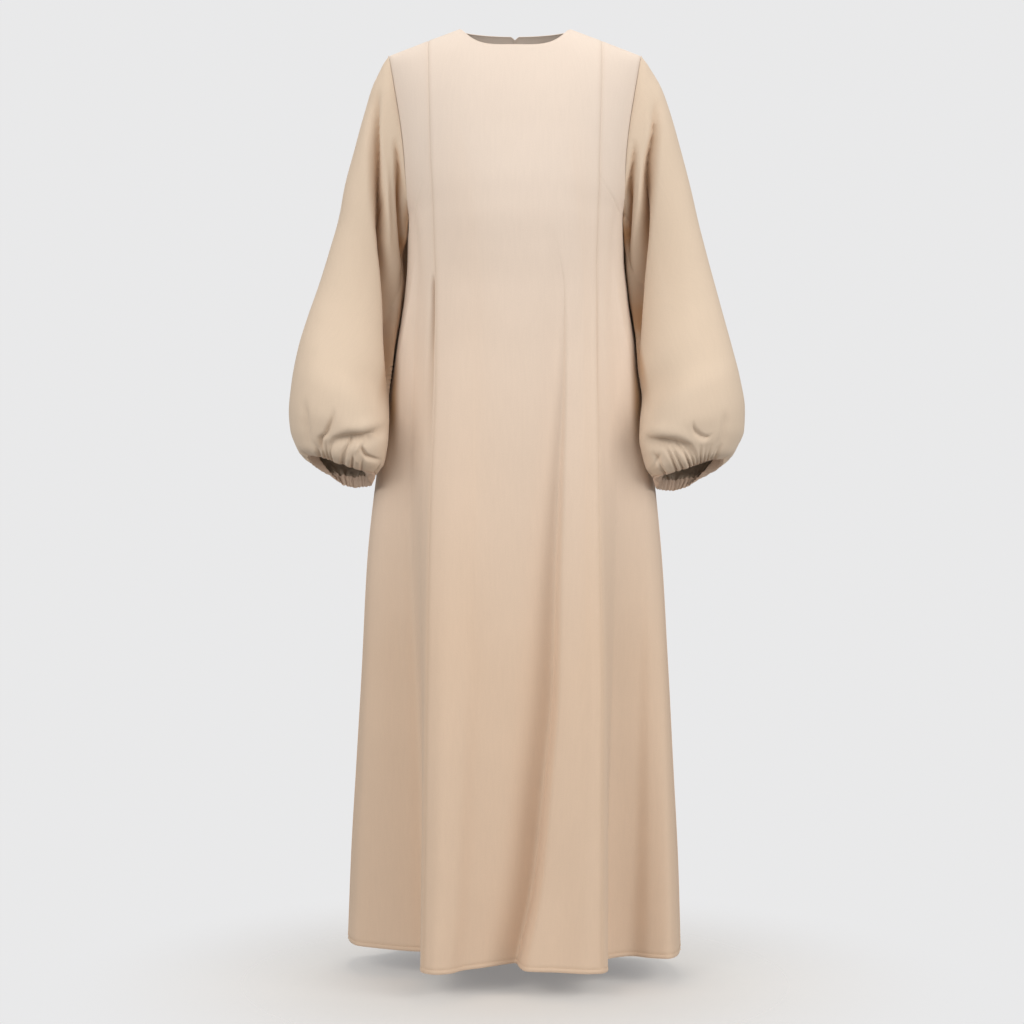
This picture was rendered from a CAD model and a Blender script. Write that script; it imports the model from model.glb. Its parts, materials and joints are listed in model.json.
# %% [markdown]
# # Dressing a crepe abaya
# An abaya is a long outer dress. This one is plain: a front of three panels, a back of two, and balloon
# sleeves that elastic gathers at the wrist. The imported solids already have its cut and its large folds, as
# stiff walls 1.5 mm thick. Here each solid is replaced by a finer shell of cloth on the same form, and the
# shell gets what a solid leaves out: pressed seams, darts, creases, gathers, stitches and the crepe itself.

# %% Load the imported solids
import json
import math
from collections import namedtuple

import bmesh
import bpy
import numpy as np
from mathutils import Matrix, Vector

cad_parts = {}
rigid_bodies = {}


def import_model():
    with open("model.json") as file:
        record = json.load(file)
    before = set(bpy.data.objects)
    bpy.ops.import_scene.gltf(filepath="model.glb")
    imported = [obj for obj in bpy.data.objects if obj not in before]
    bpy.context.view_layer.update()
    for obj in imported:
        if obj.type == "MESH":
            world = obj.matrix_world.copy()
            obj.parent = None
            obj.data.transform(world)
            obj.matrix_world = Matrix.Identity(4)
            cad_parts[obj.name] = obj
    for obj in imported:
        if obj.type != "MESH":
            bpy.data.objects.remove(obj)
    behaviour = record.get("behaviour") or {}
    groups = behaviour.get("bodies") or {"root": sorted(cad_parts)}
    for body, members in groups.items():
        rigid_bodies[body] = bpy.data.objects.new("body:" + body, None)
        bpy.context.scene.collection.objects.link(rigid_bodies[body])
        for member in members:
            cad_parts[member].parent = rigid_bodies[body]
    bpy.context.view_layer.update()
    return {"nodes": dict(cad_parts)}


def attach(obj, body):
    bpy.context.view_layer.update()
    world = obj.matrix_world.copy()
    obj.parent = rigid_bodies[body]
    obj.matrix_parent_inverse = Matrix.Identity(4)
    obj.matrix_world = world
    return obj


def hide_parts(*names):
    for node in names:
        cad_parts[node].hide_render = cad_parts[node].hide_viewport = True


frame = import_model()
print("solids:", ", ".join(sorted(frame["nodes"])))

# %% [markdown]
# ## The view
# The photograph is taken from straight ahead, at hip height, with a long lens. Its upright edges stay
# upright, so the camera is level and isn't shifted. The garment's front faces -Y.

# %% Place the camera
CAMERA_PLACE = (-0.0045, -3.0, -0.723)
PICTURE_PIXELS = 1024
PIXELS_PER_SLOPE = 2000
SENSOR_WIDTH = 36


def add_object(name, data):
    made = bpy.data.objects.new(name, data)
    bpy.context.scene.collection.objects.link(made)
    return made


lens = bpy.data.cameras.new("camera")
lens.sensor_width = SENSOR_WIDTH
lens.lens = SENSOR_WIDTH * PIXELS_PER_SLOPE / PICTURE_PIXELS
camera = add_object("camera", lens)
camera.location = CAMERA_PLACE
camera.rotation_euler = (math.radians(90), 0, 0)
bpy.context.scene.camera = camera
print(f"lens: {lens.lens:.1f} mm")

# %% [markdown]
# ## The measures
# Every shape below comes from short tables, as a pattern cutter's measures do. They are those of the
# solids, so that the cloth lies where the solids lie. A curve that never swings past its knots joins the
# rows of a table: an ordinary spline would add bulges between them.

# %% Join the rows of a table with a smooth curve
def smooth_curve(knots, values, at):
    """A cubic through the knots that never swings past them."""
    knots = np.asarray(knots, float)
    values = np.asarray(values, float)
    gaps = np.diff(knots)
    slopes = np.diff(values) / gaps
    tangents = np.concatenate([slopes[:1], np.zeros(len(knots) - 2), slopes[-1:]])
    for i in range(1, len(knots) - 1):
        before, after = slopes[i - 1], slopes[i]
        if before * after > 0:
            near, far = 2 * gaps[i] + gaps[i - 1], gaps[i] + 2 * gaps[i - 1]
            tangents[i] = (near + far) / (near / before + far / after)
    at = np.clip(at, knots[0], knots[-1])
    i = np.clip(np.searchsorted(knots, at, side="right") - 1, 0, len(gaps) - 1)
    t = (at - knots[i]) / gaps[i]
    return (
        values[i] * (1 + 2 * t) * (1 - t) ** 2
        + gaps[i] * tangents[i] * t * (1 - t) ** 2
        + values[i + 1] * t * t * (3 - 2 * t)
        + gaps[i] * tangents[i + 1] * t * t * (t - 1)
    )


def column(table, name):
    return [getattr(row, name) for row in table]


def read(table, key, name, at):
    """A column of the table, read along its key column."""
    return smooth_curve(column(table, key), column(table, name), at)


def in_mm(kind, *rows):
    """The rows of a table, from lengths in millimetres."""
    return [kind(*(value / 1000 for value in row)) for row in rows]


def unit(vectors):
    return vectors / np.maximum(np.linalg.norm(vectors, axis=-1, keepdims=True), 1e-12)


def eased(value, low, high):
    """0 below low, 1 above high and soft in between."""
    share = np.clip((value - low) / (high - low), 0.0, 1.0)
    return share * share * (3 - 2 * share)


print("halfway between 0 and 1 the curve reads", round(float(smooth_curve([0, 1], [0, 1], 0.5)), 3))

# %% [markdown]
# ## The body's tables
# A point on the body has a girth and a drop. The girth runs round: 0 at the centre front, 1 at a princess
# seam, 2 at a side seam and 3 at the centre back, with a minus on the left. The drop is the distance down
# from the shoulder seam or the neck edge.

# %% State the body's levels
HEM_DROP = 1.381
UNDERARM_DROP = 0.283
NECK_HALF_WIDTH = 0.083
NECK_POINT_HEIGHT = 0.003
FRONT_NECK_DROP = 0.0405
BACK_NECK_DROP = 0.002
BACK_NOTCH_HALF_WIDTH = 0.006
BACK_NOTCH_DEPTH = 0.004
SHOULDER_SLOPE = 0.37
YOKE_FADE = 0.26
FRONT_ROOF = 0.16
BACK_ROOF = 0.09
ROUNDNESS = 2.3
NECK_SQUARENESS = 4

Section = namedtuple("Section", "depth centre half_width side front back")
SECTIONS = in_mm(
    Section,
    (0, 0, 203, 15, -95, 69), (55, 0, 195, 15, -99, 85), (110, 0, 186, 13, -107, 98),
    (160, 0, 178.5, 12, -116, 102), (200, 0, 173, 11, -123, 102), (250, 1, 166.5, 10, -128, 98),
    (283, 1, 160.5, 10, -128, 94), (340, 1, 161, 10, -122, 87), (400, 2, 166.5, 11, -116, 84),
    (470, 2, 178.5, 13, -115, 89), (540, 2, 190, 15, -118, 99), (680, 0, 209.5, 20, -124, 120),
    (800, -1, 222, 25, -128, 137), (950, -1, 231, 32, -132, 157), (1100, -2, 240, 38, -136, 178),
    (1250, -3, 249, 45, -139, 200), (1381, -4, 254, 50, -141, 218),
)
print(f"{len(SECTIONS)} levels, from the neck to the hem {HEM_DROP} m below")

# %% [markdown]
# The seams run over these levels as lines of their own. The princess seams start at the shoulders and fall
# nearly straight, and the armhole curves from the shoulder's end in to the underarm.

# %% State the seam lines
SeamPoint = namedtuple("SeamPoint", "drop out")
PRINCESS = in_mm(
    SeamPoint,
    (0, 130), (150, 125), (230, 122.5), (310, 119.5), (400, 117.5), (520, 118), (700, 122.5), (1000, 127),
    (1381, 129),
)
ARMHOLE = in_mm(
    SeamPoint,
    (0, 190), (26, 186.5), (97, 176.5), (155, 168.5), (198, 164.5), (250, 162.5), (283, 160.5),
)


def section_value(name, depth):
    return read(SECTIONS, "depth", name, depth)


def seam_out(seam, drop):
    return read(seam, "drop", "out", drop)


print(f"the princess seams lie {2 * float(seam_out(PRINCESS, 0.4)) * 1000:.0f} mm apart at the waist")

# %% [markdown]
# ## The skirt's folds
# A flared skirt has more cloth at the hem than the body under it needs, and the spare cloth falls in long
# folds. They could be simulated, but then they would fall somewhere else than in the photograph. So the
# hem's path is drawn as seen from above, and each line of a fold runs up from it and dies away at its top.

# %% State the fold lines and the wandering trough
FoldLine = namedtuple("FoldLine", "girth x y top")
FOLD_LINES = [FoldLine(*row) for row in (
    (-3, 0, 0.196, 0.5), (-2.84, -0.052, 0.226, 0.55), (-2.66, -0.106, 0.19, 0.5),
    (-2.5, -0.16, 0.206, 0.45), (-2.32, -0.204, 0.158, 0.55), (-2.15, -0.246, 0.136, 0.6),
    (-2, -0.2562, 0.086, 0.6), (-1.86, -0.243, 0.039, 0.55), (-1.72, -0.2112, 0.018, 0.5),
    (-1.52, -0.155, -0.004, 0.36), (-1.42, -0.131, -0.012, 0.34), (-1.28, -0.128, -0.05, 0.34),
    (-1.1, -0.1355, -0.112, 0.34), (-1.035, -0.1364, -0.133, 0.34), (-1, -0.131, -0.146, 0.34),
    (-0.86, -0.1125, -0.157, 0.36), (-0.72, -0.0942, -0.152, 0.4), (-0.55, -0.0748, -0.13, 0.45),
    (-0.28, -0.0392, -0.11, 0.45), (0, 0.001, -0.083, 0.3), (0.08, 0.0075, -0.118, 0.3),
    (0.16, 0.017, -0.137, 0.3), (0.42, 0.056, -0.143, 0.42), (0.8, 0.104, -0.153, 0.45),
    (1, 0.1238, -0.15, 0.36), (1.035, 0.1335, -0.133, 0.36), (1.12, 0.133, -0.105, 0.36),
    (1.26, 0.1315, -0.07, 0.36), (1.38, 0.142, -0.052, 0.38), (1.56, 0.1733, -0.037, 0.5),
    (1.7, 0.199, -0.05, 0.55), (1.84, 0.225, -0.056, 0.6), (1.93, 0.241, -0.036, 0.6),
    (2, 0.2475, 0.006, 0.6), (2.14, 0.244, 0.066, 0.6), (2.3, 0.212, 0.128, 0.5),
    (2.46, 0.168, 0.128, 0.5), (2.62, 0.13, 0.196, 0.45), (2.78, 0.08, 0.22, 0.5),
    (2.9, 0.036, 0.188, 0.5), (3, 0, 0.196, 0.5),
)]
FOLD_EASE = 0.35
TROUGH_GIRTH = 0.04
TROUGH = in_mm(
    SeamPoint,
    (0, 5.2), (120, 5.2), (410, 69), (680, 65), (840, 60), (980, 56.5), (1120, 44.5), (1260, 30),
    (1381, 5.2),
)
print(f"{len(FOLD_LINES) - 1} fold lines round the hem")

# %% [markdown]
# The body is first a smooth tube that closes over the shoulders, a little squarer than an ellipse, as a
# chest is. The folds then move each point by the share of its fold that has grown by that drop.

# %% Find a point on the body
def shoulder_height(x):
    out = np.abs(x)
    share = np.minimum(out / NECK_HALF_WIDTH, 1.0)
    arch = 0.5 * SHOULDER_SLOPE * NECK_HALF_WIDTH * (1 - share**2)
    return NECK_POINT_HEIGHT + arch - SHOULDER_SLOPE * np.maximum(out - NECK_HALF_WIDTH, 0.0)


def top_edge(x, is_back):
    share = np.minimum(np.abs(x) / NECK_HALF_WIDTH, 1.0)
    slope = SHOULDER_SLOPE * np.maximum(np.abs(x) - NECK_HALF_WIDTH, 0.0)
    notch = BACK_NOTCH_DEPTH * np.maximum(1 - np.abs(x) / BACK_NOTCH_HALF_WIDTH, 0.0)
    front = FRONT_NECK_DROP * (1 - share**NECK_SQUARENESS)
    back = BACK_NECK_DROP * (1 - share**2) + notch
    return NECK_POINT_HEIGHT - slope - np.where(is_back, back, front)


def smooth_body(girth, drop):
    """The body before its skirt folds."""
    size = np.abs(girth)
    is_back = size > 2
    half_width = section_value("half_width", drop)
    princess = seam_out(PRINCESS, drop)
    edge = np.where(drop < UNDERARM_DROP, seam_out(ARMHOLE, drop), half_width)
    edge_angle = np.arcsin(np.minimum(edge / half_width, 1.0))
    seam_angle = np.arcsin(np.minimum(princess / half_width, 1.0))
    side_angle = seam_angle + (edge_angle - seam_angle) * (np.clip(size, 1, 2) - 1)
    angle = np.where(is_back, edge_angle * (3 - size), side_angle)
    out = np.where(size <= 1, size * princess, half_width * np.sin(angle))
    x = np.sign(girth) * out
    z = top_edge(x, is_back) * np.maximum(1 - drop / YOKE_FADE, 0.0) ** 2 - drop
    depth = np.maximum(-z, 0.0)
    share = np.minimum(out / section_value("half_width", depth), 1.0)
    round_off = (1 - share**ROUNDNESS) ** (1 / ROUNDNESS)
    below = np.maximum(shoulder_height(x) - z, 0.0)
    reach = np.minimum(below / np.where(is_back, BACK_ROOF, FRONT_ROOF), 1.0)
    side = section_value("side", depth)
    far = np.where(is_back, section_value("back", depth), section_value("front", depth))
    y = side + (far - side) * round_off * np.sqrt(1 - (1 - reach) ** 2)
    return np.stack([x + section_value("centre", depth), y, z], axis=-1)


def slid(girth, old, new):
    """The girth, after the trough has slid from its old place to a new one between the princess seams."""
    left = -1 + (girth + 1) * (new + 1) / (old + 1)
    right = 1 - (1 - girth) * (1 - new) / (1 - old)
    return np.where(np.abs(girth) < 1, np.where(girth < old, left, right), girth)


def trough_girth(drop):
    return seam_out(TROUGH, drop) / seam_out(PRINCESS, drop)


def body_point(girth, drop):
    """A point on the outer face of the body."""
    girth, drop = np.broadcast_arrays(np.asarray(girth, float), np.asarray(drop, float))
    points = smooth_body(girth, drop)
    line = slid(girth, trough_girth(drop), TROUGH_GIRTH)
    hem = smooth_body(line, np.full(line.shape, HEM_DROP))
    top, x, y = (read(FOLD_LINES, "girth", name, line) for name in ("top", "x", "y"))
    share = np.clip((drop - top) / (HEM_DROP - top), 0.0, 1.0)
    grown = FOLD_EASE * share * share * (3 - 2 * share) + (1 - FOLD_EASE) * share
    points[..., 0] += grown * (x - hem[..., 0])
    points[..., 1] += grown * (y - hem[..., 1])
    return points


print("centre front at the hem:", body_point(0.0, HEM_DROP).round(3))

# %% [markdown]
# ## Soft creases placed by hand
# The panels also carry creases that are too shallow for the solids: a dart's seam, the faint troughs in the
# skirt, the dimples over the cuffs. Sculpting would place them by eye. A table does it exactly: each crease
# is a path across the front view with a rise, negative for a trough, and a reach to either side. Left and
# right are as seen along the path.

# %% Raise or sink cloth along a path
PathPoint = namedtuple("PathPoint", "x z rise left right")
HOLLOW_SHARE = 0.8
FACING_FADE = 0.35


def crease(*rows):
    return in_mm(PathPoint, *rows)


def crease_rise(points, path):
    """How far the crease lifts each of the points."""
    x, z = np.array(column(path, "x")), np.array(column(path, "z"))
    length = math.hypot(x[-1] - x[0], z[-1] - z[0])
    along_x, along_z = (x[-1] - x[0]) / length, (z[-1] - z[0]) / length
    knots = (x - x[0]) * along_x + (z - z[0]) * along_z
    sides = (z - z[0]) * along_x - (x - x[0]) * along_z
    across = points[..., 0] - x[0], points[..., 2] - z[0]
    along = across[0] * along_x + across[1] * along_z
    offset = across[1] * along_x - across[0] * along_z - smooth_curve(knots, sides, along)
    values = {name: smooth_curve(knots, column(path, name), along) for name in ("rise", "left", "right")}
    reach = np.where(offset > 0, values["left"], values["right"])
    return values["rise"] * np.exp(-((offset / reach) ** 2))


def hollow_share(points, path):
    """How far down in the fold's hollow each point is, from 0 beside it to 1 at its deepest."""
    narrow = [p._replace(left=HOLLOW_SHARE * p.left, right=HOLLOW_SHARE * p.right) for p in path]
    return np.clip(crease_rise(points, narrow) / min(column(path, "rise")), 0.0, 1.0)


def with_creases(points, normals, front_paths, back_paths=()):
    """The points, moved along their normals by the creases of the side that they face."""
    front = eased(-normals[..., 1], 0.0, FACING_FADE)
    back = eased(normals[..., 1], 0.0, FACING_FADE)
    lift = sum((crease_rise(points, path) for path in front_paths), np.zeros(points.shape[:2])) * front
    lift = lift + sum((crease_rise(points, path) for path in back_paths), 0.0) * back
    return points + lift[..., None] * normals


hump = crease((0, 0, 0, 9, 9), (0, -500, 2, 9, 9), (0, -1000, 0, 9, 9))
tried = crease_rise(np.array([[[0, 0, -0.5]]]), hump)
print(f"a crease with a rise of 2 mm lifts its own middle by {1000 * tried[0, 0]:.1f} mm")

# %% [markdown]
# ## One shell for every piece
# Each piece is a grid of points: rows run down the cloth and columns run across it. The grid is the outer
# face, a copy one thickness inside it is the inner face, and strips of quads close the edges, so that the
# cut edge of the cloth shows at the neck, the hem and the wrists. The shells keep their rows and columns in
# metres as a UV map named cloth, along which the yarns later run.

# %% Turn a grid of points into a shell of cloth
EDGE_ANGLE = math.radians(60)


def grid_normals(points, is_closed):
    along = np.gradient(points, axis=0)
    if is_closed:
        across = np.roll(points, -1, axis=1) - np.roll(points, 1, axis=1)
    else:
        across = np.gradient(points, axis=1)
    return unit(np.cross(along, across))


def lengths(points, axis):
    steps = np.linalg.norm(np.diff(points, axis=axis), axis=-1)
    start = np.zeros_like(np.take(steps, [0], axis=axis))
    return np.concatenate([start, np.cumsum(steps, axis=axis)], axis=axis)


def cloth_shell(name, outer, thickness, is_closed=False, press=None):
    """A closed thin shell whose outer face is the grid. Press is each point's share of the darker dye."""
    rows, columns = outer.shape[:2]
    inner = outer - thickness * grid_normals(outer, is_closed)
    index = np.arange(rows * columns).reshape(rows, columns)
    round_index = np.hstack([index, index[:, :1]]) if is_closed else index
    round_points = np.hstack([outer, outer[:, :1]]) if is_closed else outer
    wide = lengths(round_points, 1)
    cloth = np.stack([wide - wide[:, -1:] / 2, lengths(round_points, 0)], axis=-1)
    corners = (slice(None, -1), slice(None, -1)), (slice(1, None), slice(None, -1))
    corners += (slice(1, None), slice(1, None)), (slice(None, -1), slice(1, None))
    quads = np.stack([round_index[c] for c in corners], axis=-1).reshape(-1, 4)
    maps = np.stack([cloth[c] for c in corners], axis=-2).reshape(-1, 4, 2)
    inside = index.size
    faces = [quads, quads[:, ::-1] + inside]
    uvs = [maps, maps[:, ::-1]]
    edges = [(round_index[0], cloth[0]), (round_index[-1][::-1], cloth[-1][::-1])]
    if not is_closed:
        edges += [(index[::-1, 0], cloth[::-1, 0]), (index[:, -1], cloth[:, -1])]
    for line, places in edges:
        faces.append(np.stack([line[:-1], line[1:], line[1:] + inside, line[:-1] + inside], axis=-1))
        uvs.append(np.stack([places[:-1], places[1:], places[1:], places[:-1]], axis=1))
    mesh = bpy.data.meshes.new(name)
    vertices = np.vstack([outer.reshape(-1, 3), inner.reshape(-1, 3)])
    mesh.from_pydata(vertices.tolist(), [], np.vstack(faces).tolist())
    mesh.uv_layers.new(name="cloth").data.foreach_set("uv", np.concatenate(uvs).ravel())
    pressed = np.zeros((rows, columns)) if press is None else press
    mesh.attributes.new("press", "FLOAT", "POINT").data.foreach_set("value", np.tile(pressed.ravel(), 2))
    mesh.shade_smooth()
    mesh.set_sharp_from_angle(angle=EDGE_ANGLE)
    piece = add_object(name, mesh)
    corner = round_points[:-1, :-1]
    parts = np.cross(round_points[1:, :-1] - corner, round_points[:-1, 1:] - corner)
    piece["cloth_area"] = float(np.linalg.norm(parts, axis=-1).sum())
    size = f"{wide[:, -1].max():.3f} m wide, {cloth[..., 1].max():.3f} m long, {piece['cloth_area']:.4f} m2"
    print(f"{name}: {len(mesh.polygons)} faces, {size}")
    return piece


# %% [markdown]
# A grid with even rows would waste points on the flat cloth and still be too coarse for a seam 2 mm wide.
# So rows and columns crowd together where something small happens.

# %% Space the rows and columns
Crowd = namedtuple("Crowd", "at step reach")
FINE_PLACES = 6000


def running(steps):
    """The running total of the steps, from 0."""
    return np.concatenate([[0.0], np.cumsum(steps)])


def crowded(start, end, step, crowds=()):
    """Places from start to end, one step apart, closer together round each crowd."""
    fine = np.linspace(start, end, FINE_PLACES)
    density = np.full(fine.shape, 1 / step)
    for crowd in crowds:
        density = np.maximum(density, np.exp(-(((fine - crowd.at) / crowd.reach) ** 2)) / crowd.step)
    total = running((density[1:] + density[:-1]) / 2 * np.diff(fine))
    return np.interp(np.linspace(0, total[-1], max(3, round(total[-1]) + 1)), total, fine)


print("from 0 to 1, crowded at 0:", crowded(0, 1, 0.2, [Crowd(0, 0.05, 0.2)]).round(2))

# %% [markdown]
# ## Seams and edges
# A pressed seam sinks by less than a millimetre, and the allowances under it lift the cloth a little on
# both sides. The hem is turned up 7 mm and stitched, so that it has a soft roll below a fine dent. None of
# this is drawn in the shader, because real relief shades rightly from every side.

# %% Press the seams and turn the hem
SEAM_GAP = 0.0001
SEAM_DIP = 0.0005
SEAM_REACH = 0.0011
ALLOWANCE_LIFT = 0.0002
ALLOWANCE_AT = 0.0065
ALLOWANCE_REACH = 0.004
HEM_TURN = 0.007
HEM_DENT = 0.0005
HEM_DENT_REACH = 0.0011
HEM_ROLL = 0.0005
HEM_ROLL_REACH = 0.003
EDGE_DROP = 0.0004
EDGE_REACH = 0.001


def bump(distance, at, reach):
    return np.exp(-(((distance - at) / reach) ** 2))


def seam_lift(distance):
    allowance = ALLOWANCE_LIFT * bump(distance, ALLOWANCE_AT, ALLOWANCE_REACH)
    return allowance - SEAM_DIP * bump(distance, 0, SEAM_REACH)


def hem_lift(distance):
    roll = HEM_ROLL * bump(distance, HEM_TURN / 2, HEM_ROLL_REACH)
    dent = HEM_DENT * bump(distance, HEM_TURN, HEM_DENT_REACH)
    return roll - dent - EDGE_DROP * bump(distance, 0, EDGE_REACH)


print(f"a seam sinks {-1000 * seam_lift(0.0):.1f} mm")
print(f"its allowances lift the cloth {1000 * seam_lift(ALLOWANCE_AT):.1f} mm")

# %% [markdown]
# ## The creases of the body
# The left princess seam stands proud below the bust, where the centre panel starts to fold over the side
# panel. A bust dart runs from each armhole to the princess seam. The back can't be seen in the photograph,
# so it gets what such a back has: soft drags at the waist and under the shoulder blades.

# %% State the body's creases
LEFT_DART = crease(
    (-159.2, -316.5, 0, 1.3, 1.3), (-153.1, -297.6, -1.2, 1.3, 1.3), (-136.9, -247.4, -0.9, 1.2, 1.2),
    (-133.6, -237.2, 0, 1.2, 1.2),
)
RIGHT_DART = crease(
    (160, -285.9, 0, 1.3, 1.3), (151.7, -274.4, -1.2, 1.3, 1.3), (126, -238.7, -0.9, 1.2, 1.2),
    (120.5, -231.1, 0, 1.2, 1.2),
)
SEAM_FOLD_LEFT = crease(
    (-119.2, -375, 0, 1.4, 3), (-119.3, -398, -8, 1.4, 3.6), (-119.6, -450, -8.6, 1.4, 5),
    (-120.8, -510, -4, 1.6, 8), (-124.5, -640, 0, 2, 12),
)
SEAM_FOLD_RIGHT = crease(
    (121.8, -380, 0, 5, 1.4), (121.4, -440, -2, 6, 1.4), (121.6, -520, -1.6, 8, 1.4),
    (123, -640, 0, 10, 1.4),
)
FAINT_TROUGH = crease(
    (-30.4, -740, 0, 18, 14), (-36.2, -850, -1.6, 20, 14), (-43, -990, -2.2, 22, 15),
    (-53.5, -1140, -1.6, 22, 16), (-65, -1270, 0, 22, 16),
)
CENTRE_RIDGE = crease(
    (90, -520, 0, 14, 16), (88, -700, 1.8, 14, 17), (84, -950, 2.4, 14, 18), (80, -1200, 1.4, 14, 18),
    (78, -1330, 0, 14, 18),
)
UNDERARM_LEFT = crease(
    (-154, -270, 0, 5, 6), (-148, -310, -2.4, 6, 7), (-144, -360, -1.8, 7, 8), (-143, -430, 0, 8, 9),
)
UNDERARM_RIGHT = crease(
    (153, -260, 0, 6, 5), (146, -310, -1.8, 7, 6), (142, -390, -1.4, 8, 7), (143, -470, 0, 9, 8),
)
FRONT_CREASES = [SEAM_FOLD_LEFT, SEAM_FOLD_RIGHT, FAINT_TROUGH, CENTRE_RIDGE, UNDERARM_LEFT, UNDERARM_RIGHT]
BACK_CREASES = [
    crease((-115, -395, 0, 12, 10), (-60, -418, -2.2, 14, 11), (-6, -412, 0, 12, 10)),
    crease((10, -436, 0, 12, 10), (70, -444, -2, 15, 11), (128, -418, 0, 12, 10)),
    crease((-150, -200, 0, 10, 10), (-118, -265, -3, 13, 11), (-98, -345, 0, 14, 12)),
    crease((152, -190, 0, 10, 10), (124, -250, -2.6, 11, 13), (108, -322, 0, 12, 14)),
    crease((-45, -470, 0, 14, 16), (-52, -640, -2.6, 18, 20), (-70, -860, 0, 20, 22)),
    crease((62, -480, 0, 16, 14), (74, -690, -3, 20, 18), (88, -960, 0, 22, 20)),
]
print(f"{len(FRONT_CREASES) + 2} creases in front, {len(BACK_CREASES)} at the back")

# %% [markdown]
# ## Cloth is never quite even
# Real crepe hangs with slow unevenness, about a millimetre over a hand's width, which is what tells it from
# plastic. Long sines in prime ratios give it, stretched along the fall of the cloth.

# %% Make the fall of the cloth a little uneven
BODY_WANDER = 0.0008
SLEEVE_WANDER = 0.0011


def uneven(points, rise):
    """A slow wander, from four waves whose heights add up to 2.4 and are scaled to the rise."""
    x, y, z = points[..., 0], points[..., 1], points[..., 2]
    slow = np.sin(71 * x + 3.1 * z + 1.3 * np.sin(5.3 * z)) + 0.6 * np.sin(113 * x - 4.7 * z + 2.0)
    slow = slow + 0.5 * np.sin(89 * y + 3.7 * z + 0.8) + 0.3 * np.sin(37 * z + 19 * x)
    return rise * slow / 2.4


tried = uneven(np.random.default_rng(1).uniform(-1, 1, (999, 3)), BODY_WANDER)
print(f"largest wander of the body: {1000 * np.abs(tried).max():.1f} mm")

# %% [markdown]
# ## Sew the body
# A panel's first and last columns lie half a seam gap inside its seams. Its columns follow the fold lines
# down the cloth, so that a sharp fold runs along an edge loop and never zigzags across one. Each point also
# gets its share of the darker dye: some along what was pressed, more deep in the left seam's fold, and all of
# it on the front beside the sleeves, where the photograph has a deep shade.

# %% Lay out a panel's grid
SPREAD_DROPS = (0.15, 0.3, 0.6, 0.9, 1.2, HEM_DROP)
TRIAL_LINES = 1500
SEAM_STEP = 0.0012
SEAM_CROWD = 0.010
NUDGE = 0.002
YOKE_ROWS = 25
YOKE_DROP = 0.03
ROW_STEP = 0.0048
HEM_CROWD = Crowd(HEM_DROP, 0.0010, 0.012)
WANDER_FROM_SEAM = (0.0, 0.03)
WANDER_FROM_TOP = (0.05, 0.6)
SEAM_PRESS = 0.004
HEM_PRESS = 0.0025
EDGE_PRESS = 0.002
TOP_PRESS = 0.003
PRESSED_SHARE = 0.13
FOLD_SHARE = 0.7
SHADE_OUT = (0.168, 0.182)
SHADE_START = (0.46, 0.52)
SHADE_END = (0.56, 0.66)
CLOTH_THICKNESS = 0.0011


def even_lines(first, last, step):
    """Fold lines from one seam to the other, evenly spread over the widest level and denser at the seams."""
    lines = np.linspace(first, last, TRIAL_LINES)
    pace = np.zeros(len(lines) - 1)
    for drop in SPREAD_DROPS:
        points = body_point(slid(lines, TROUGH_GIRTH, trough_girth(drop)), drop)
        pace = np.maximum(pace, np.linalg.norm(np.diff(points, axis=0), axis=1))
    far = running(pace)
    places = crowded(0, far[-1], step, [Crowd(at, SEAM_STEP, SEAM_CROWD) for at in (0, far[-1])])
    return np.interp(places, far, lines)


def seam_inset(girth, towards, rows):
    step = math.copysign(NUDGE, towards - girth)
    pace = np.linalg.norm(body_point(girth + step, rows) - body_point(girth, rows), axis=-1)
    return girth + step * (SEAM_GAP / 2) / np.maximum(pace, 1e-9)


def panel(name, first, last, step, crowds=(), darts=()):
    """A panel of the body between two seams, with its creases, pressed seams and hem."""
    yoke = YOKE_DROP * np.linspace(0, 1, YOKE_ROWS + 1)[:-1] ** 2
    rows = np.concatenate([yoke, crowded(YOKE_DROP, HEM_DROP, ROW_STEP, [HEM_CROWD, *crowds])])
    girths = slid(even_lines(first, last, step)[None, :], TROUGH_GIRTH, trough_girth(rows[:, None]))
    girths[:, 0] = seam_inset(first, last, rows)
    girths[:, -1] = seam_inset(last, first, rows)
    points = body_point(girths, rows[:, None])
    on_shoulder = np.abs(points[0, :, 0]) >= NECK_HALF_WIDTH
    towards = np.sign(points[1, on_shoulder, 1] - points[0, on_shoulder, 1])
    points[0, on_shoulder, 1] += towards * SEAM_GAP / 2
    normals = grid_normals(points, False)
    across, down = lengths(points, 1), lengths(points, 0)
    hem = down[-1:] - down
    from_seams = np.minimum(across, across[:, -1:] - across)
    lift = seam_lift(from_seams) + hem_lift(hem)
    lift = lift + seam_lift(down) * np.where(on_shoulder, 1.0, 0.5)
    wander = uneven(points, BODY_WANDER)
    lift = lift + wander * eased(from_seams, *WANDER_FROM_SEAM) * eased(rows[:, None], *WANDER_FROM_TOP)
    moved = with_creases(points, normals, FRONT_CREASES + list(darts), BACK_CREASES)
    moved = moved + lift[..., None] * normals
    pressed = (
        bump(from_seams, 0, SEAM_PRESS), bump(hem, HEM_TURN, HEM_PRESS), bump(hem, 0, EDGE_PRESS),
        bump(down, 0, TOP_PRESS),
    )
    press = PRESSED_SHARE * np.maximum.reduce(pressed)
    drop = np.maximum(-points[..., 2], 0.0)
    by_sleeve = eased(np.abs(points[..., 0]), *SHADE_OUT) * eased(drop, *SHADE_START)
    by_sleeve = by_sleeve * (1 - eased(drop, *SHADE_END))
    shade = np.maximum(FOLD_SHARE * hollow_share(points, SEAM_FOLD_LEFT), by_sleeve)
    press = np.maximum(press, shade * (normals[..., 1] < 0))
    return cloth_shell(name, moved, CLOTH_THICKNESS, press=press), moved


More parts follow.
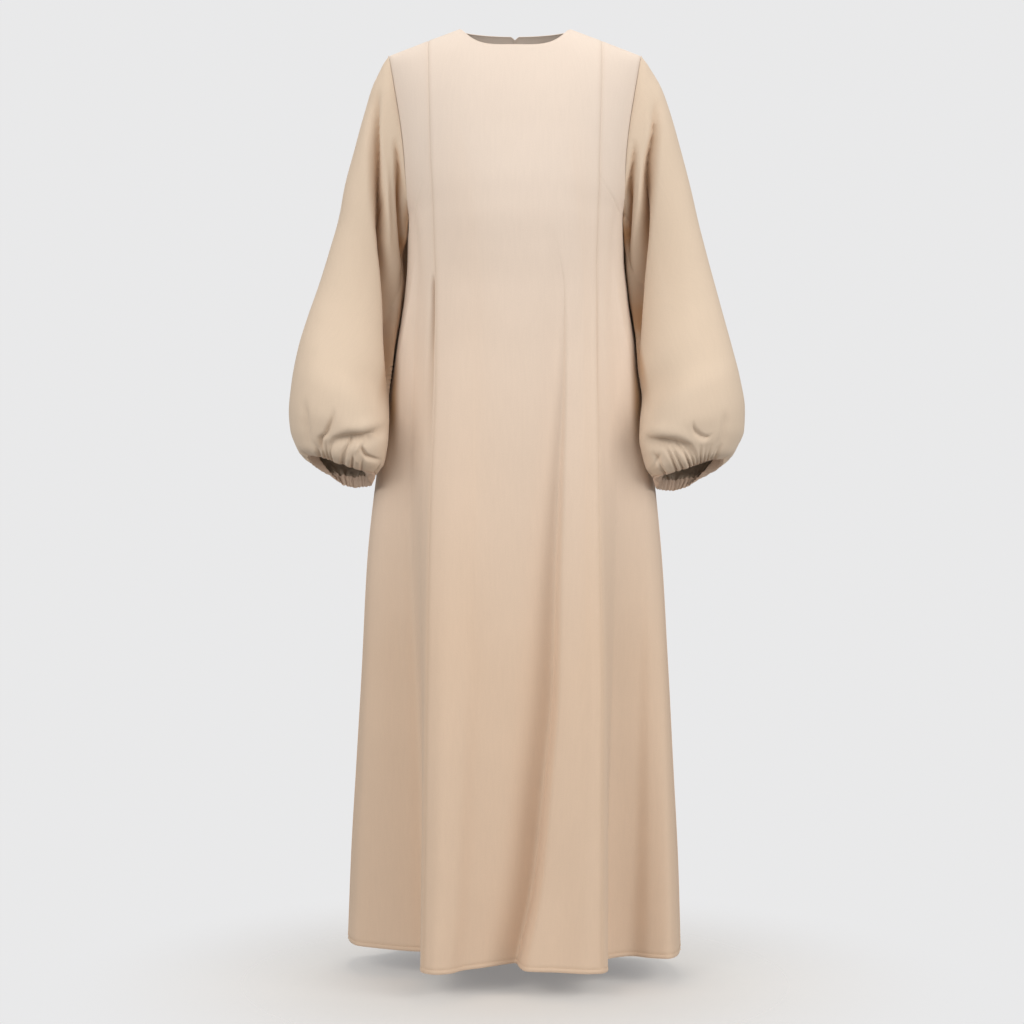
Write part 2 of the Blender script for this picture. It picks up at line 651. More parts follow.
print("columns in the front's centre panel:", len(even_lines(-1, 1, 0.005)))

# %% [markdown]
# The five panels follow, each in place of its solid. The side panels have finer rows where the dart is.

# %% Make the five panels
PANELS = {
    "front_centre": (-1, 1, 0.0050, (), ()),
    "front_side_left": (-2, -1, 0.0050, (Crowd(0.270, 0.0013, 0.035),), (LEFT_DART,)),
    "front_side_right": (1, 2, 0.0050, (Crowd(0.257, 0.0013, 0.030),), (RIGHT_DART,)),
    "back_left": (-3, -2, 0.0056, (), ()),
    "back_right": (2, 3, 0.0056, (), ()),
}
pieces = {}
grids = {}
for name, measures in PANELS.items():
    pieces[name], grids[name] = panel(name + "_cloth", *measures)

# %% [markdown]
# ## The turned edge at the back of the neck
# Where the centre back seam opens under the neck, its turned edge shows inside as a narrow strip. It lies
# against the inner face of the back.

# %% Make the back neck strip
STRIP_HALF_WIDTH = 0.0030
STRIP_THICKNESS = 0.0009
STRIP_DEPTH = 0.0019
STRIP_ROLL = 0.0004
STRIP_DROPS = np.linspace(0.012, 0.148, 60)

back_edge = body_point(3.0, STRIP_DROPS)
back_away = unit(np.cross(np.gradient(back_edge, axis=0), [-1.0, 0.0, 0.0]))
strip_line = back_edge - STRIP_DEPTH * back_away
strip_across = np.linspace(STRIP_HALF_WIDTH, -STRIP_HALF_WIDTH, 9)
strip_grid = strip_line[:, None, :] + strip_across[None, :, None] * np.array([1.0, 0.0, 0.0])
strip_roll = STRIP_ROLL * (1 - (strip_across / STRIP_HALF_WIDTH) ** 2)
strip_grid = strip_grid + strip_roll[None, :, None] * back_away[:, None, :]
pieces["back_neck_strip"] = cloth_shell("back_neck_strip_cloth", strip_grid, STRIP_THICKNESS)

# %% [markdown]
# ## The balloon sleeves
# A balloon sleeve is a tube that widens to the forearm and is gathered at the wrist. Its table gives, for
# each ring, the outer and inner fold of the flattened tube in the front view, and how deep it is. The first
# ring is the armhole itself.

# %% State the sleeves' rings
Ring = namedtuple("Ring", "outer_x outer_z inner_x inner_z middle half_depth front_rise inner_back")
LEFT_SLEEVE = in_mm(
    Ring,
    (-190, -36.6, -160.5, -283, 13, 46, 0, 0), (-212.5, -78, -156, -290, 12, 55, 0, 12),
    (-226.2, -126, -150, -310, 10, 61, 0, 28), (-240, -177, -147, -337.5, 8, 63, 0, 40),
    (-256.2, -234, -147, -367.5, 5, 62, 0, 47), (-264.8, -282, -149, -403, 2, 60, 2, 47),
    (-277, -330, -153.5, -442, -3, 60, 4, 40), (-292.5, -385, -160, -484, -9, 62, 6, 30),
    (-309, -436, -168.5, -523, -16, 66, 8, 15), (-322.5, -483, -182, -556, -23, 70, 10, 2),
    (-331.5, -532.5, -184, -590, -30, 73, 10, -16), (-335.2, -573, -185, -615, -34, 72, 10, -20),
    (-332.5, -603, -187.5, -634, -37, 66, 10, -16), (-320.5, -624, -193.5, -650, -43, 54, 9, -8),
    (-306.5, -634.5, -205, -664, -46, 38, 8, 0),
)
RIGHT_SLEEVE = in_mm(
    Ring,
    (190, -36.6, 160.5, -283, 13, 46, 0, 0), (218, -82, 156, -290, 12, 55, 0, 12),
    (235.6, -130, 150, -312, 10, 61, 0, 28), (249.2, -179, 147, -340, 8, 63, 0, 40),
    (264, -238.5, 147, -372.5, 5, 62, 0, 47), (274.5, -285, 148, -408, 2, 60, 2, 44),
    (287, -335, 152, -448, -3, 60, 4, 34), (299, -385, 158, -488, -9, 62, 6, 22),
    (310.5, -435, 166, -526, -16, 66, 8, 8), (322.5, -483, 180, -562, -23, 70, 10, 2),
    (333, -525, 180, -594, -30, 73, 10, -16), (340.5, -570, 180, -618, -34, 72, 10, -20),
    (339, -603, 183.5, -636, -37, 66, 10, -16), (326.2, -626.2, 191.5, -654, -43, 54, 9, -8),
    (309.5, -640, 203, -669, -46, 38, 8, 0),
)
OVAL_POWER = 0.92
LEFT_PINCH = 1.0
RIGHT_PINCH = 0.7
PINCH_START = (0.5, 3.0)
PINCH_END = (8.0, 11.5)
PINCH_POWER = 1.5
ARMHOLE_POINTS = 90
ARMHOLE_BLEND_ROWS = 3.0
SLEEVE_CLEARANCE = 0.0006
SLEEVE_CLEARANCE_DEPTH = 0.05
CONTACT_SOFTNESS = 0.004
print(f"the left sleeve is {1000 * (LEFT_SLEEVE[0].outer_z - LEFT_SLEEVE[-1].outer_z):.0f} mm tall")

# %% [markdown]
# The armhole's edge is shared with the body's panels, so the sleeve starts from their own points. A point
# round the sleeve has a turn, in radians from its outer fold round the front. Next to the body the front of
# the tube is pinched flatter. Where it would press into the body's side it is moved out.

# %% Find the armhole and the rings
def armhole_loop(side):
    """The armhole's points and the way out across them, down the front and up the back."""
    rows = UNDERARM_DROP * np.linspace(0, 1, ARMHOLE_POINTS) ** 1.6
    halves = []
    for towards in (-side, side):
        edge = body_point(2.0 * side + 1e-6 * towards, rows)
        halves.append((edge, unit(edge - body_point(2.0 * side + NUDGE * towards, rows))))
    (front, front_out), (back, back_out) = halves
    points = np.concatenate([front, back[-2:0:-1]])
    return points, np.concatenate([front_out, back_out[-2:0:-1]])


def loop_turns(edge):
    steps = np.linalg.norm(np.diff(np.vstack([edge, edge[:1]]), axis=0), axis=1)
    half = len(edge) // 2
    front, back = running(steps[:half]), running(steps[half:])
    return np.concatenate([math.pi * front / front[-1], math.pi + math.pi * back[1:-1] / back[-1]])


def oval(table, turns, row):
    rows = range(len(table))
    at = {name: smooth_curve(rows, column(table, name), row) for name in Ring._fields}
    outer = np.array([at["outer_x"], at["middle"], at["outer_z"]])
    inner = np.array([at["inner_x"], at["middle"], at["inner_z"]])
    cosine, sine = np.cos(turns), np.sin(turns)
    across = (np.sign(cosine) * np.abs(cosine) ** OVAL_POWER)[:, None]
    points = (outer + inner) / 2 + across * (outer - inner) / 2
    pinch = LEFT_PINCH if table[0].outer_x < 0 else RIGHT_PINCH
    pinch = pinch * ((1 - cosine) / 2) ** PINCH_POWER * (sine > 0)
    pinch = pinch * eased(row, *PINCH_START) * (1 - eased(row, *PINCH_END))
    forward = np.sign(sine) * np.abs(sine) ** (OVAL_POWER + pinch)
    points[:, 1] += at["inner_back"] * (1 - cosine) / 2 - at["half_depth"] * forward
    points[:, 2] += at["front_rise"] * forward
    return points


def clear_of_body(points, side):
    """The points, moved out where they would press into the body's side."""
    depth = np.maximum(-points[:, 2], 0.0)
    middle = section_value("side", depth)
    reach = np.where(points[:, 1] < middle, section_value("front", depth), section_value("back", depth))
    share = np.minimum((points[:, 1] - middle) / (reach - middle), 1.0)
    width = section_value("half_width", depth) * (1 - share**ROUNDNESS) ** (1 / ROUNDNESS)
    below = np.clip((depth - UNDERARM_DROP) / SLEEVE_CLEARANCE_DEPTH, 0.0, 1.0)
    limit = width + SLEEVE_CLEARANCE * below
    out = side * (points[:, 0] - section_value("centre", depth))
    pressed = (out + limit + np.sqrt((out - limit) ** 2 + (CONTACT_SOFTNESS * below) ** 2)) / 2
    moved = points.copy()
    use = (depth > UNDERARM_DROP) & (share < 1.0)
    moved[use, 0] += side * (pressed - out)[use]
    return moved


print("points in an armhole loop:", len(armhole_loop(1)[0]))

# %% [markdown]
# The front of each sleeve carries long folds where the arm's bend pulls the cloth to the body, and short
# dimples where the balloon slumps over the cuff. Their paths are read from the photograph, sleeve by
# sleeve. Those of the backs, which can't be seen, come in a later step.

# %% State the sleeves' folds
LEFT_FOLDS = [
    crease(
        (-205, -90, 0, 4, 8), (-206.7, -115, -7, 4, 9), (-207.5, -144.8, -13, 4, 9),
        (-207, -187, -20, 5, 9), (-204.2, -232.8, -26, 6, 8), (-199.8, -278.4, -31, 7, 7),
        (-195.5, -324.6, -34, 9, 6), (-190.5, -369.2, -36, 12, 5), (-187, -413.6, -36, 15, 5),
        (-185, -474, -32, 15, 5), (-182, -521, -22, 12, 5), (-179, -570, -10, 8, 5),
        (-177, -610.1, 0, 8, 5),
    ),
    crease(
        (-178.3, -165, 0, 3.8, 3.6), (-175.2, -197.5, -7.5, 3.8, 3.6), (-172, -232, -12.5, 3.8, 4.2),
        (-168.2, -266.5, -15, 3.8, 4.2), (-162.5, -312.7, -15, 4, 5), (-159.5, -346.9, -11, 4, 5),
        (-163, -385, 0, 4, 5),
    ),
    crease(
        (-193, -100, 0, 14, 14), (-191.5, -170, -3, 16, 16), (-187, -250, -5, 17, 17),
        (-180, -330, -7, 16, 16), (-174, -420, -6, 14, 14), (-171, -500, 0, 12, 12),
    ),
    crease(
        (-191.5, -190, 0, 5, 5), (-188, -265, 4, 5, 5), (-181.4, -369.2, 3, 5, 5),
        (-177.9, -450.5, 0, 5, 5),
    ),
    crease(
        (-307.7, -560, 0, 5, 6), (-304.6, -578, -4.2, 5, 7), (-302.9, -597, -4.8, 5, 8),
        (-299.8, -618.8, -3.4, 5, 7), (-295.4, -636.1, 0, 4, 5),
    ),
    crease(
        (-260, -576, 0, 3, 4), (-263.9, -588.2, -4.5, 3, 4), (-272.4, -608.6, -6.7, 3, 4),
        (-282.4, -618.8, -6, 3, 4), (-283.9, -633.3, -3.9, 3, 4), (-284.4, -645.4, 0, 3, 4),
    ),
    crease(
        (-270.8, -630.4, 0, 4, 8), (-257.8, -618.8, -6.9, 4, 10), (-237.6, -615.1, -10.6, 4, 12),
        (-215.9, -613, -11.9, 4, 12), (-198.6, -605.7, -9.4, 4, 10), (-185, -595, 0, 4, 8),
    ),
    crease(
        (-275, -618, 0, 7, 5), (-248, -604, 3.4, 9, 6), (-218, -601, 4, 10, 6), (-193, -591, 0, 8, 5),
    ),
    crease(
        (-236.5, -616, 0, 2.5, 2.5), (-239, -623, -4.5, 2.5, 2.5), (-244.8, -633.3, -5.1, 2.5, 2.5),
        (-249.9, -653.5, -4.5, 2.5, 2.5), (-252, -668, 0, 2.5, 2.5),
    ),
    crease(
        (-213, -615.9, 0, 3, 3), (-215.8, -618.8, 2, 3, 3), (-228.9, -630.4, 3, 3, 3),
        (-233.2, -643.4, 2.6, 3, 3), (-230.3, -652.1, 0, 3, 3),
    ),
    crease(
        (-223.6, -628, 0, 3, 3), (-220.9, -634.7, -5.1, 3, 3), (-215.8, -641.9, -6.1, 3, 3),
        (-208.6, -644.8, -5.1, 3, 3), (-194.1, -647.7, 0, 3, 3),
    ),
]
RIGHT_FOLDS = [
    crease(
        (210, -103, 0, 9, 4), (208.5, -128, -6, 9, 4), (206.3, -153.9, -12, 9, 4),
        (197.6, -203.5, -21, 9, 5), (193, -253, -29, 8, 6), (187, -310, -34, 7, 8),
        (182.7, -352.9, -36, 6, 10), (181, -381, -36, 5, 13), (176, -439.4, -34, 5, 15),
        (172.7, -490.2, -28, 5, 14), (175, -529.8, -18, 5, 10), (174.5, -575, -8, 5, 7),
        (174, -600, 0, 5, 7),
    ),
    crease(
        (178.3, -170, 0, 3.6, 3.8), (175, -203.5, -7.5, 4, 3.8), (171.5, -229, -11, 4, 3.8),
        (167.8, -262.8, -14, 4, 3.8), (163, -300, -15, 5, 4), (160, -336.6, -12, 5, 4),
        (163, -385, 0, 5, 4),
    ),
    crease(
        (193, -105, 0, 14, 14), (189, -180, -2, 16, 16), (183, -260, -3, 17, 17), (177, -340, -5, 16, 16),
        (172, -430, -6, 14, 14), (170, -510, 0, 12, 12),
    ),
    crease(
        (191, -190, 0, 5, 5), (185, -260, 4, 5, 5), (179, -340, 3, 5, 5), (176, -398, 0, 5, 5),
    ),
    crease(
        (255.6, -593, 0, 3, 4), (257.5, -601, -3, 3, 4), (262.5, -608.5, -4.6, 3, 5),
        (270.6, -614, -4.8, 3, 5), (279, -615.5, -3.4, 3, 5), (286.8, -611, 0, 3, 4),
    ),
    crease(
        (304.2, -576, 0, 6, 5), (304.2, -591.1, -2.8, 7, 5), (301, -613, -3.4, 8, 5),
        (295.1, -627.5, -2.6, 7, 5), (290.8, -649.2, 0, 5, 4),
    ),
    crease(
        (182.3, -613, 0, 4, 8), (199.6, -618.8, -8.4, 4, 10), (214.9, -620.2, -10.8, 4, 12),
        (232.9, -623.1, -9.6, 4, 11), (250.3, -628.2, -7.2, 4, 9), (264, -649.2, 0, 4, 6),
    ),
    crease(
        (185, -602, 0, 8, 5), (212, -608, 4, 10, 6), (240, -612, 3.4, 9, 6), (262, -626, 0, 7, 5),
    ),
    crease(
        (200, -648, 0, 5, 5), (209.7, -653.5, 2.6, 6, 5), (221.3, -663.7, 2, 5, 5), (229, -670, 0, 5, 5),
    ),
    crease(
        (211.2, -636.1, 0, 3, 3), (206.8, -647.7, -2.8, 3, 3), (203.9, -659, 0, 3, 3),
    ),
]

# %% [markdown]
# At the front of each cuff the photograph shows the pleats one by one. Each is a valley that deepens as it
# runs down, and it keeps its depth over the edge.

# %% State the pleats of the fronts
Pleat = namedtuple("Pleat", "top_x top_z x z foot_x foot_z depth")
PLEAT_REACHES = (0.0032, 0.0024, 0.0018)
LEFT_PLEATS = in_mm(
    Pleat,
    (-293.1, -619.5, -288.7, -631.2, -285.8, -642.8, 3.9),
    (-282.9, -612.2, -280.7, -629.7, -278.5, -645.8, 5.7),
    (-274.1, -618.1, -274.1, -632.6, -272.7, -650.1, 5.5),
    (-265.4, -619.5, -268.3, -635.5, -267.6, -653, 4.9),
    (-245.7, -623.9, -250.8, -641.4, -254.5, -657.4, 4.7),
    (-230.4, -632.6, -235.5, -645.8, -239.2, -663.2, 5.2),
    (-220.2, -641.4, -223.1, -653, -224.6, -669.1, 3.9),
)
RIGHT_PLEATS = in_mm(
    Pleat,
    (198.1, -635.5, 208.3, -647.2, 221.4, -670.5, 4.5), (209.8, -622.4, 225.8, -642.8, 236, -663.2, 5.5),
    (220, -622.4, 234.5, -642.8, 246.2, -663.2, 5), (230.2, -619.5, 246.2, -639.9, 256.4, -658.9, 5.7),
    (241.8, -622.4, 254.9, -641.4, 262.2, -657.4, 4.5),
    (256.4, -629.7, 263.7, -644.3, 267.3, -657.4, 4.2), (269.5, -623.9, 269.5, -641.4, 272.4, -656, 5.2),
    (277.5, -622.4, 276.1, -641.4, 277.5, -654.5, 4.5), (285.5, -622.4, 281.9, -639.9, 282.6, -653, 5),
    (294.3, -626.8, 287.7, -641.4, 287, -651.6, 4), (303, -622.4, 295.7, -635.5, 291.4, -648.7, 4),
)


def pleat_path(p):
    points = (p.top_x, p.top_z, 0.0), (p.x, p.z, -0.75 * p.depth), (p.foot_x, p.foot_z, -p.depth)
    return [PathPoint(*point, reach, reach) for point, reach in zip(points, PLEAT_REACHES)]


print(f"{len(LEFT_PLEATS)} pleats over the left cuff and {len(RIGHT_PLEATS)} over the right")

# %% [markdown]
# Nothing is known of the backs of the sleeves, but the same arm bends the same cloth there. So each back
# takes the other sleeve's front folds, mirrored, shallower, softer and further from the body.

# %% Mirror the folds for the backs
BACK_SHARE = 0.20
BACK_SHIFT = 0.014
BACK_SOFTNESS = 1.6


def mirrored(path):
    """The same fold for the other sleeve's back."""
    folds = []
    for p in path:
        x = -p.x - math.copysign(BACK_SHIFT, p.x)
        folds.append(PathPoint(x, p.z, BACK_SHARE * p.rise, BACK_SOFTNESS * p.right, BACK_SOFTNESS * p.left))
    return folds


print(f"{len(LEFT_FOLDS)} folds on the left sleeve's front and {len(RIGHT_FOLDS)} on the right's")

# %% [markdown]
# ## The gathers
# Elastic draws the wrist in, and the spare cloth puckers into narrow valleys that run up from the cuff and
# fan out. No two are alike: each has its own place, depth, width, length and lean, drawn from a seeded
# generator so that every run gives the same sleeve. In front, the pleats of the photograph take over.

# %% Draw the gathers
Gather = namedtuple("Gather", "turn depth width length lean")
GATHER_COUNT = 46
GATHER_STRAY = 0.36
GATHER_DEPTHS = (0.0020, 0.0044)
GATHER_WIDTHS = (0.0013, 0.0020)
SHORTEST_GATHER = 0.014
GATHER_EXTRA = 0.030
GATHER_LEAN = 2.4
GATHER_FAN = 1.6
PLEATS_IN_FRONT = (0.15, 0.55)


def draw_gathers(seed):
    chance = np.random.default_rng(seed)
    places = np.arange(GATHER_COUNT) + chance.uniform(-GATHER_STRAY, GATHER_STRAY, GATHER_COUNT)
    places = places * 2 * math.pi / GATHER_COUNT
    depths = chance.uniform(*GATHER_DEPTHS, GATHER_COUNT)
    widths = chance.uniform(*GATHER_WIDTHS, GATHER_COUNT)
    spans = SHORTEST_GATHER + GATHER_EXTRA * chance.uniform(0, 1, GATHER_COUNT) ** 1.5
    leans = chance.normal(0, GATHER_LEAN, GATHER_COUNT)
    depths = depths * (1 - eased(np.sin(places), *PLEATS_IN_FRONT))
    return [Gather(*values) for values in zip(places, depths, widths, spans, leans)]


def gather_rise(gathers, turns, up, radius):
    """The gathers' rise at each turn and distance up from the gathered line."""
    total = np.zeros(np.broadcast(turns, up).shape)
    for gather in gathers:
        centre = gather.turn + gather.lean * up
        offset = radius * ((turns - centre + math.pi) % (2 * math.pi) - math.pi)
        width = gather.width * (1 + GATHER_FAN * np.maximum(up, 0) / gather.length)
        fade = 1 - eased(up, 0.1 * gather.length, gather.length)
        total -= gather.depth * fade * np.exp(-((offset / width) ** 2))
    return total


print("deepest gather:", round(max(gather.depth for gather in draw_gathers(11)) * 1000, 1), "mm")

# %% [markdown]
# ## Sew a sleeve
# The rings of the table give the form, and its lip slumps over the cuff in front and behind. Over the form
# go the pressed armhole seam, a little fullness over the sleeve's head, the long folds, and the gathers at
# the wrist. The front folds stop at the inner fold. In the two deepest, and beside the body, the darker dye
# stands in for the photograph's deep shade. The sleeve's last ring is handed on, because the cuff grows out
# of it.

# %% Make a sleeve
SLEEVE_COLUMNS = 426
SLEEVE_ROW_STEP = 0.0075
WRIST_STEP = 0.0014
WRIST_CROWD = 0.055
FRONT_FOLDS_END = 3.35
FRONT_FOLDS_FADE = 0.35
LEFT_SHADE = (0.001, 0.013)
RIGHT_SHADE = (0.001, 0.009)
BESIDE_SHARE = 0.7
BESIDE_START = (0.25, 0.29)
BESIDE_END = (0.50, 0.58)
LIP_SLUMP = 0.0125
LIP_AT = 1.6
LIP_POWER = 2.5
BACK_LIP_SLUMP = 0.017
BACK_LIP_AT = -1.10
BACK_LIP_POWER = 3
LIP_HEIGHT = 0.05
SEAM_SHARE = 0.4
HEAD_FULLNESS = 0.0014
HEAD_AT = 0.014
HEAD_HEIGHTS = (-0.20, -0.10)
WRIST_FULLNESS = 0.0016
WRIST_AT = 0.016
FULLNESS_REACH = 0.011
ARMHOLE_PRESSED = 0.04
WRIST_PRESSED = 0.2
WANDER_FROM_ARMHOLE = (0.0, 0.05)
CALM = (0.0, 0.016)


def sleeve_rows(table, turns):
    """Rows of the table, closer together at the armhole and at the wrist."""
    fine = np.linspace(0, len(table) - 1, 200)
    rings = np.array([oval(table, turns, row) for row in fine])
    far = running(np.linalg.norm(np.diff(rings, axis=0), axis=-1).mean(axis=1))
    crowds = [Crowd(0, SEAM_STEP, SEAM_CROWD), Crowd(far[-1], WRIST_STEP, WRIST_CROWD)]
    return np.interp(crowded(0, far[-1], SLEEVE_ROW_STEP, crowds), far, fine)


def sleeve(name, table, side, front_folds, back_folds, gathers):
    turns = np.linspace(0, 2 * math.pi, SLEEVE_COLUMNS, endpoint=False)
    turns = turns if side < 0 else turns[::-1]
    loop, loop_out = armhole_loop(side)
    closed = np.append(loop_turns(loop), 2 * math.pi)
    seam, away = (
        np.stack([np.interp(turns, closed, np.append(line[:, i], line[0, i])) for i in range(3)], axis=-1)
        for line in (loop, loop_out)
    )
    start = oval(table, turns, 0)
    rings = []
    for row in sleeve_rows(table, turns):
        blend = max(0.0, 1 - row / ARMHOLE_BLEND_ROWS) ** 2
        ring = oval(table, turns, row) + blend * (seam - start)
        rings.append(clear_of_body(ring, side) if row > 0 else seam + SEAM_GAP * away)
    form = np.array(rings)
    fall = unit((form[-1] - form[-12]).mean(axis=0))
    slump = LIP_SLUMP * ((1 + np.cos(turns - LIP_AT)) / 2) ** LIP_POWER
    slump = slump + BACK_LIP_SLUMP * ((1 + np.cos(turns - BACK_LIP_AT)) / 2) ** BACK_LIP_POWER
    slump = slump * (1 - eased(lengths(form[::-1], 0)[::-1], 0.0, LIP_HEIGHT))
    form = form + slump[..., None] * fall
    normals = grid_normals(form, True)
    down = lengths(form, 0)
    up = down[-1:] - down
    middle = form.mean(axis=1, keepdims=True)
    radius = np.linalg.norm(form - middle, axis=-1)
    head = HEAD_FULLNESS * bump(down, HEAD_AT, FULLNESS_REACH) * eased(form[..., 2], *HEAD_HEIGHTS)
    puff = WRIST_FULLNESS * bump(up, WRIST_AT, FULLNESS_REACH)
    wander = uneven(form, SLEEVE_WANDER) * eased(down, *WANDER_FROM_ARMHOLE)
    lift = SEAM_SHARE * seam_lift(down) + head + puff + wander
    lift = lift + gather_rise(gathers, turns[None, :], up, radius)
    calm = eased(down, *CALM)[..., None]
    on_front = eased(FRONT_FOLDS_END - turns, 0.0, FRONT_FOLDS_FADE)[None, :, None]
    creased = on_front * with_creases(form, normals, front_folds) + (1 - on_front) * form
    moved = form + calm * (creased - form + with_creases(form, normals, (), back_folds) - form)
    moved = moved + lift[..., None] * normals
    in_front = np.sin(turns) > 0
    sunk = sum(hollow_share(form, path) for path in front_folds[:2]) * in_front
    drop = -moved[..., 2]
    off_body = side * moved[..., 0] - section_value("half_width", np.maximum(drop, 0.0))
    beside = (1 - eased(off_body, *(LEFT_SHADE if side < 0 else RIGHT_SHADE))) * in_front
    beside = beside * eased(drop, *BESIDE_START) * (1 - eased(drop, *BESIDE_END))
    moved = np.concatenate([moved[:1], np.array([clear_of_body(ring, side) for ring in moved[1:]])])
    press = np.maximum(ARMHOLE_PRESSED * bump(down, 0, TOP_PRESS), WRIST_PRESSED * bump(up, 0, SEAM_PRESS))
    press = np.maximum(press, np.maximum(np.minimum(sunk, 1.0), BESIDE_SHARE * beside))
    piece = cloth_shell(name, moved, CLOTH_THICKNESS, is_closed=True, press=press)
    return piece, form, moved, turns


SIDES = {
    "left": (-1, LEFT_SLEEVE, LEFT_FOLDS, LEFT_PLEATS, RIGHT_FOLDS, 11),
    "right": (1, RIGHT_SLEEVE, RIGHT_FOLDS, RIGHT_PLEATS, LEFT_FOLDS, 23),
}
sleeves = {}
for name, (side, table, folds, pleats, other_folds, seed) in SIDES.items():
    front_folds = folds + [pleat_path(pleat) for pleat in pleats]
    back_folds = [mirrored(path) for path in other_folds]
    sleeves[name] = sleeve(f"sleeve_{name}_cloth", table, side, front_folds, back_folds, draw_gathers(seed))
for name, made in sleeves.items():
    pieces["sleeve_" + name] = made[0]

# %% [markdown]
# ## The cuffs
# Each cuff is a casing 16 mm tall with elastic in it. At the front it has rolled in and up under the
# slumping sleeve, so that there the photograph looks past it at the inside of its back wall. The valleys of
# the gathers run on into it and get finer towards its edge.

# %% Make a cuff
CUFF_HEIGHT = 0.016
CUFF_OVERLAP = 0.0016
CUFF_INSET = 0.0013
CUFF_TUCK = math.radians(150)
CUFF_ROLL_AT = 0.9
CUFF_ROLL_SHARE = 0.4
CUFF_ROLL_POWER = 0.8
CUFF_FULLNESS = 0.0010
CUFF_CRINKLE = 0.00045
CUFF_EVENING = 0.4
CUFF_ROLL_EVENING = 0.8
CUFF_ROWS = 18
CUFF_THICKNESS = 0.0013


def cuff(name, side, form, moved, turns):
    down = unit((form[-1] - form[-8]).mean(axis=0))
    outward = grid_normals(form, True)[-1]
    outward = unit(outward - (outward @ down)[:, None] * down)
    front = ((1 + np.cos(turns - CUFF_ROLL_AT))[:, None] / 2) ** CUFF_ROLL_POWER
    crinkle = CUFF_CRINKLE * np.sin(131 * turns + 3 * np.sin(5 * turns))
    steps = np.linspace(0, 1, CUFF_ROWS)
    ring = form[-1] - CUFF_OVERLAP * down - CUFF_INSET * outward
    line = moved[-1] - form[-1]
    rings = [ring + line]
    for before, step in zip(steps, steps[1:]):
        tuck = CUFF_TUCK * front * min(1.0, (before + step) / 2 / CUFF_ROLL_SHARE)
        ring = ring + CUFF_HEIGHT * (step - before) * (np.cos(tuck) * down - np.sin(tuck) * outward)
        full = (CUFF_FULLNESS + crinkle) * math.sin(math.pi * step)
        rolled = front * min(1.0, step / CUFF_ROLL_SHARE)
        carried = (1 - CUFF_EVENING * step) * (1 - CUFF_ROLL_EVENING * rolled)
        rings.append(clear_of_body(ring + carried * line + full[:, None] * outward, side))
    made = np.array(rings)
    up = (1 - steps)[:, None] * np.ones(len(turns))
    return cloth_shell(name, made, CUFF_THICKNESS, is_closed=True, press=0.5 * bump(up, 0, 0.2))


for name, made in sleeves.items():
    pieces["cuff_" + name] = cuff(f"cuff_{name}_cloth", SIDES[name][0], *made[1:])

# %% [markdown]
# ## The hem's stitches
# One row of topstitching holds the hem, 7 mm above its edge. Each stitch is a short bead of thread that sinks
# at both ends. All the stitches of a panel are one mesh, laid along the panel's own grid.

# %% Lay the stitches
STITCH_PITCH = 0.0034
STITCH_LENGTH = 0.0026
THREAD_RADIUS = 0.00026
THREAD_SIDES = 6
STITCH_FAT = (0.45, 0.9, 1.0, 0.9, 0.45)
STITCH_HEIGHT = (-0.8, 0.25, 0.5, 0.25, -0.8)


def stitches(name, grid):
    down = lengths(grid, 0)
    line = np.array([
        [np.interp(down[-1, j] - HEM_TURN, down[:, j], grid[:, j, i]) for i in range(3)]
        for j in range(grid.shape[1])
    ])
    normals = grid_normals(grid, False)
    row = int(np.argmin(np.abs(down[:, 0] - (down[-1, 0] - HEM_TURN))))
    far = running(np.linalg.norm(np.diff(line, axis=0), axis=1))
    count = int((far[-1] - STITCH_PITCH) / STITCH_PITCH)
    first = (far[-1] - count * STITCH_PITCH) / 2
    starts = first + STITCH_PITCH * np.arange(count) + (STITCH_PITCH - STITCH_LENGTH) / 2

    def place(values, at):
        return np.stack([np.interp(at, far, values[:, i]) for i in range(3)], axis=-1)

    along = np.linspace(0, 1, len(STITCH_FAT))
    angles = 2 * math.pi * np.arange(THREAD_SIDES) / THREAD_SIDES
    vertices, faces = [], []
    for start in starts:
        points = place(line, start + along * STITCH_LENGTH)
        normal = unit(place(normals[row], start + along * STITCH_LENGTH))
        side = unit(np.cross(normal, unit(np.gradient(points, axis=0))))
        base = len(vertices)
        for k, (fat, height) in enumerate(zip(STITCH_FAT, STITCH_HEIGHT)):
            middle = points[k] + THREAD_RADIUS * height * normal[k]
            for angle in angles:
                outward = math.cos(angle) * side[k] + math.sin(angle) * normal[k]
                vertices.append(tuple(middle + THREAD_RADIUS * fat * outward))
        last = len(vertices) - THREAD_SIDES
        for ring in range(base, last, THREAD_SIDES):
            for i in range(THREAD_SIDES):
                a, b = ring + i, ring + (i + 1) % THREAD_SIDES
                faces.append((a, b, b + THREAD_SIDES, a + THREAD_SIDES))
        faces.append(tuple(reversed(range(base, base + THREAD_SIDES))))
        faces.append(tuple(range(last, len(vertices))))
    mesh = bpy.data.meshes.new(name)
    mesh.from_pydata(vertices, [], faces)
    mesh.shade_smooth()
    return add_object(name, mesh), count


threads = {}
for name, grid in grids.items():
    threads[name], count = stitches(name + "_stitches", grid)
    print(f"{name}: {count} stitches")

# %% [markdown]
# ## The crepe
# Crepe is woven from hard-twisted yarns that shrink unevenly, so that its face is matt and finely pebbled.
# A picture of cloth would tile and blur. A node group works it out instead, from the cloth's own rows and
# columns: two sets of yarns and the pebble over them. Every crepe places this group with its own sizes.

